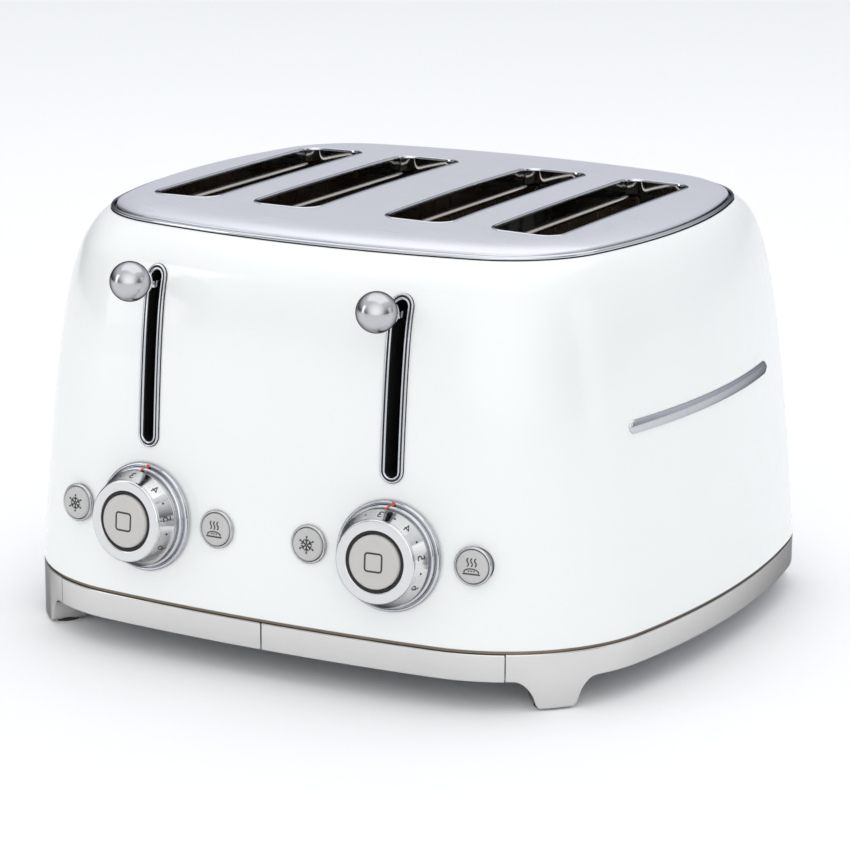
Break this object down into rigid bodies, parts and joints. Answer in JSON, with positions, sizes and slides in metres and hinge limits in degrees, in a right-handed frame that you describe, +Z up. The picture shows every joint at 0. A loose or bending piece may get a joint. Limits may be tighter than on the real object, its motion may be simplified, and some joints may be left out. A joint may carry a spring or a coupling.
{
  "type": "pop up toaster",
  "caption": "Four-slot pop-up toaster: enamelled casing with bowed sides, domed metal top, metal base band with corner feet, ball levers, browning dials and push buttons.",
  "frame": {"origin": "on the table, under the middle of the object's overall box", "axes": "+Z up, +X to the right when facing the levers and dials, -Y towards the user"},
  "size_m": [0.348, 0.3382, 0.2131],
  "materials": {
    "white_enamel": "gloss",
    "brushed_panel": "satin",
    "polished_rim": "polished",
    "badge_chrome": "polished",
    "trim_chrome": "polished",
    "band_satin": "satin",
    "foot_rubber": "matte",
    "plain_steel": "mill",
    "screw_steel": "zinc plated",
    "black_plastic": "matte",
    "chamber_steel": "heat darkened",
    "mica": "matte",
    "nichrome": "oxidised",
    "wire_steel": "satin",
    "knob_satin": "satin",
    "button_plastic": "satin",
    "mark_red": "gloss",
    "board_green": "satin",
    "magnet_iron": "plain"
  },
  "bodies": {
    "root": {"body_shell": "white_enamel", "top_panel": "brushed_panel", "top_rim": "polished_rim", "badge_bar": "badge_chrome", "left_lever_trim": "trim_chrome", "right_lever_trim": "trim_chrome", "left_dial_bezel": "trim_chrome", "right_dial_bezel": "trim_chrome", "function_bezels": "trim_chrome", "base_band": "band_satin", "foot_pads": "foot_rubber", "cable_gland": "foot_rubber", "bottom_plate": "plain_steel", "board_standoffs": "plain_steel", "left_return_spring": "plain_steel", "right_return_spring": "plain_steel", "guide_rods": "plain_steel", "base_screws": "screw_steel", "terminal_block": "black_plastic", "chassis_floor": "chamber_steel", "front_chassis_plate": "chamber_steel", "rear_chassis_plate": "chamber_steel", "heater_cards": "mica", "heater_ribbons": "nichrome", "pointer_marks": "mark_red", "left_control_board": "board_green", "right_control_board": "board_green", "holding_magnets": "magnet_iron"},
    "left_carriage": {"left_carriage_bracket": "plain_steel", "left_carriage_bush": "black_plastic", "left_lever_stem": "knob_satin", "left_lever_ball": "knob_satin", "left_lever_collar": "knob_satin", "bread_rack_1": "wire_steel", "bread_rack_2": "wire_steel"},
    "left_pair_left_guides": {"bread_guide_1_left": "wire_steel", "bread_guide_2_left": "wire_steel"},
    "left_pair_right_guides": {"bread_guide_1_right": "wire_steel", "bread_guide_2_right": "wire_steel"},
    "left_dial": {"left_dial": "knob_satin"},
    "left_cancel_button": {"left_cancel_button": "button_plastic"},
    "left_defrost_button": {"left_defrost_button": "button_plastic"},
    "left_bagel_button": {"left_bagel_button": "button_plastic"},
    "left_tray": {"left_crumb_tray": "band_satin"},
    "right_carriage": {"right_carriage_bracket": "plain_steel", "right_carriage_bush": "black_plastic", "right_lever_stem": "knob_satin", "right_lever_ball": "knob_satin", "right_lever_collar": "knob_satin", "bread_rack_3": "wire_steel", "bread_rack_4": "wire_steel"},
    "right_pair_left_guides": {"bread_guide_3_left": "wire_steel", "bread_guide_4_left": "wire_steel"},
    "right_pair_right_guides": {"bread_guide_3_right": "wire_steel", "bread_guide_4_right": "wire_steel"},
    "right_dial": {"right_dial": "knob_satin"},
    "right_cancel_button": {"right_cancel_button": "button_plastic"},
    "right_defrost_button": {"right_defrost_button": "button_plastic"},
    "right_bagel_button": {"right_bagel_button": "button_plastic"},
    "right_tray": {"right_crumb_tray": "band_satin"}
  },
  "joints": [
    {"name": "left_lever_slide", "type": "slide", "parent": "root", "child": "left_carriage", "axis": [0, 0, 1], "range_m": [-0.072, 0.002], "stiffness_N_per_m": 60, "springref_m": 0.029, "deforming": ["left_return_spring"]},
    {"name": "left_pair_left_guides_close", "type": "slide", "parent": "root", "child": "left_pair_left_guides", "axis": [1, 0, 0], "range_m": [-0.0004, 0.0071]},
    {"name": "left_pair_right_guides_close", "type": "slide", "parent": "root", "child": "left_pair_right_guides", "axis": [-1, 0, 0], "range_m": [-0.0004, 0.0071]},
    {"name": "left_dial_turn", "type": "hinge", "parent": "root", "child": "left_dial", "pos_m": [-0.0675, -0.14746, 0.07], "axis": [-0.0771, -0.9946, 0.0697], "range_deg": [-80, 120]},
    {"name": "left_cancel_press", "type": "slide", "parent": "root", "child": "left_cancel_button", "axis": [0.0771, 0.9946, -0.0697], "range_m": [0, 0.002], "stiffness_N_per_m": 400},
    {"name": "left_defrost_press", "type": "slide", "parent": "root", "child": "left_defrost_button", "axis": [0.125, 0.9897, -0.0697], "range_m": [0, 0.0015], "stiffness_N_per_m": 400},
    {"name": "left_bagel_press", "type": "slide", "parent": "root", "child": "left_bagel_button", "axis": [0.0291, 0.9971, -0.0697], "range_m": [0, 0.0015], "stiffness_N_per_m": 400},
    {"name": "left_tray_slide", "type": "slide", "parent": "root", "child": "left_tray", "axis": [0, -1, 0], "range_m": [0, 0.25]},
    {"name": "right_lever_slide", "type": "slide", "parent": "root", "child": "right_carriage", "axis": [0, 0, 1], "range_m": [-0.072, 0.002], "stiffness_N_per_m": 60, "springref_m": 0.029, "deforming": ["right_return_spring"]},
    {"name": "right_pair_left_guides_close", "type": "slide", "parent": "root", "child": "right_pair_left_guides", "axis": [1, 0, 0], "range_m": [-0.0004, 0.0071]},
    {"name": "right_pair_right_guides_close", "type": "slide", "parent": "root", "child": "right_pair_right_guides", "axis": [-1, 0, 0], "range_m": [-0.0004, 0.0071]},
    {"name": "right_dial_turn", "type": "hinge", "parent": "root", "child": "right_dial", "pos_m": [0.0675, -0.14746, 0.07], "axis": [0.0771, -0.9946, 0.0697], "range_deg": [-80, 120]},
    {"name": "right_cancel_press", "type": "slide", "parent": "root", "child": "right_cancel_button", "axis": [-0.0771, 0.9946, -0.0697], "range_m": [0, 0.002], "stiffness_N_per_m": 400},
    {"name": "right_defrost_press", "type": "slide", "parent": "root", "child": "right_defrost_button", "axis": [-0.0291, 0.9971, -0.0697], "range_m": [0, 0.0015], "stiffness_N_per_m": 400},
    {"name": "right_bagel_press", "type": "slide", "parent": "root", "child": "right_bagel_button", "axis": [-0.125, 0.9897, -0.0697], "range_m": [0, 0.0015], "stiffness_N_per_m": 400},
    {"name": "right_tray_slide", "type": "slide", "parent": "root", "child": "right_tray", "axis": [0, -1, 0], "range_m": [0, 0.25]}
  ],
  "couplings": [
    {"joint": "left_pair_left_guides_close", "follows": "left_lever_slide", "ratio": -0.097222},
    {"joint": "left_pair_right_guides_close", "follows": "left_lever_slide", "ratio": -0.097222},
    {"joint": "right_pair_left_guides_close", "follows": "right_lever_slide", "ratio": -0.097222},
    {"joint": "right_pair_right_guides_close", "follows": "right_lever_slide", "ratio": -0.097222}
  ]
}
